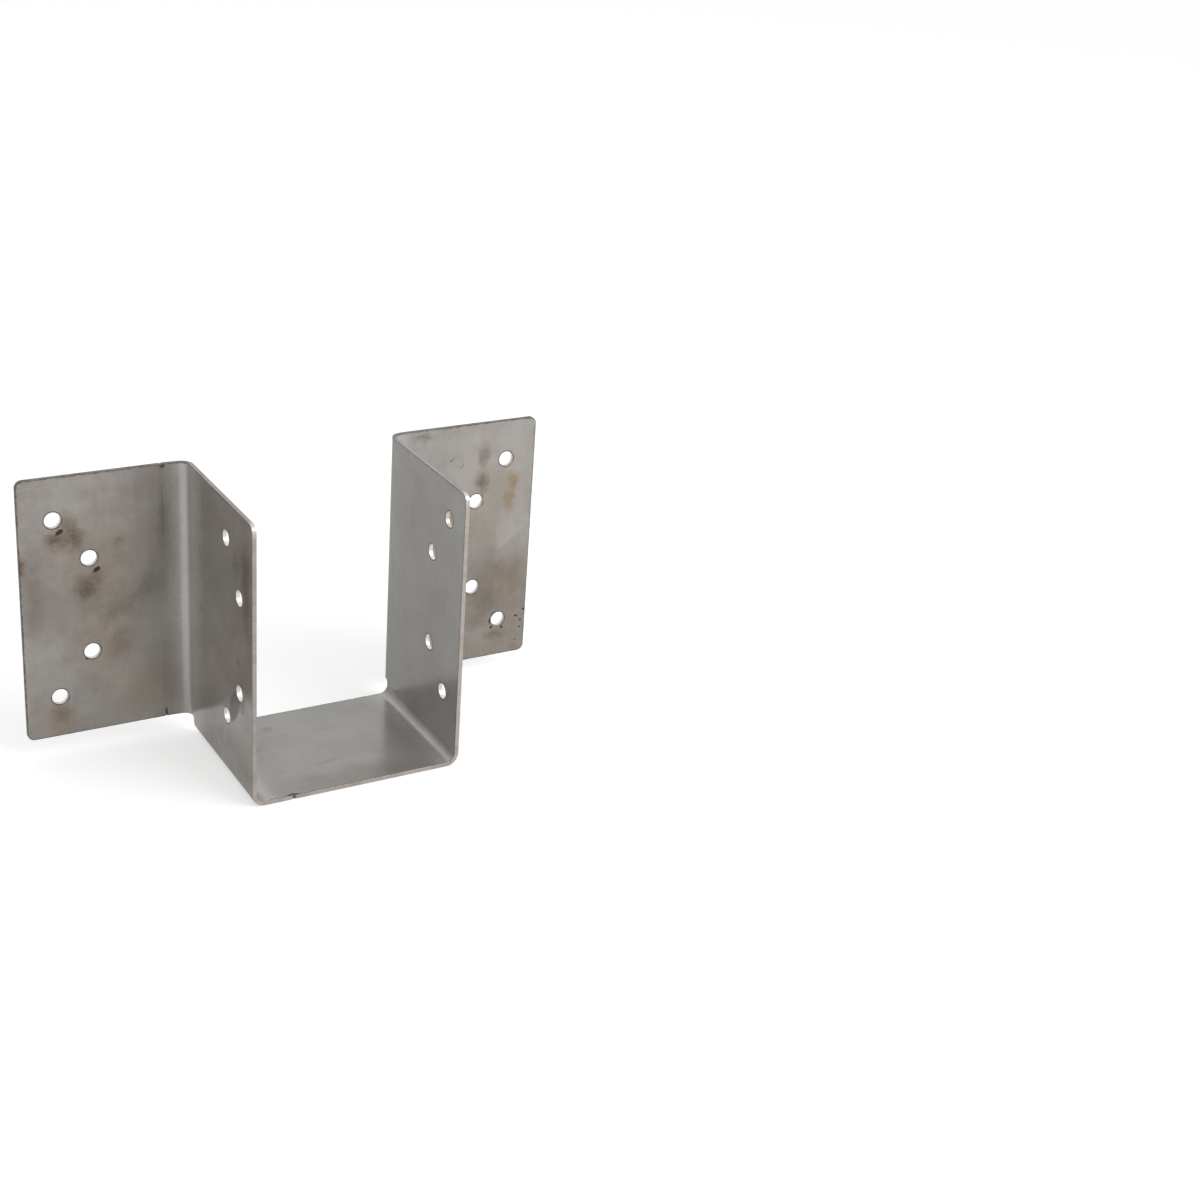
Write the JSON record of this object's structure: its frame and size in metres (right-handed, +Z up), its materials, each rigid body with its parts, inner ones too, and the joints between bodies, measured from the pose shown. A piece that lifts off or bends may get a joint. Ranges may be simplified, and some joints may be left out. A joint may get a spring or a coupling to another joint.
{
  "type": "joist hanger",
  "caption": "Face-fixing hanger folded from one steel sheet: a U-shaped seat for the end of a timber joist, with outward nailing flanges and staggered nail holes.",
  "frame": {"origin": "middle of the bounding box at its bottom: on the mid-plane, level with the underside of the seat, halfway between the walls' front edges and the header face", "axes": "+X across the joist to the right as seen from the front, +Y along the joist towards the header, +Z up"},
  "size_m": [0.188, 0.061, 0.1],
  "materials": {
    "sheet_steel": "satin cold-rolled sheet, faint rolling grain, brown heat and handling stains, bright cut edges"
  },
  "bodies": {
    "root": {"joist_hanger": "sheet_steel"}
  },
  "joints": []
}
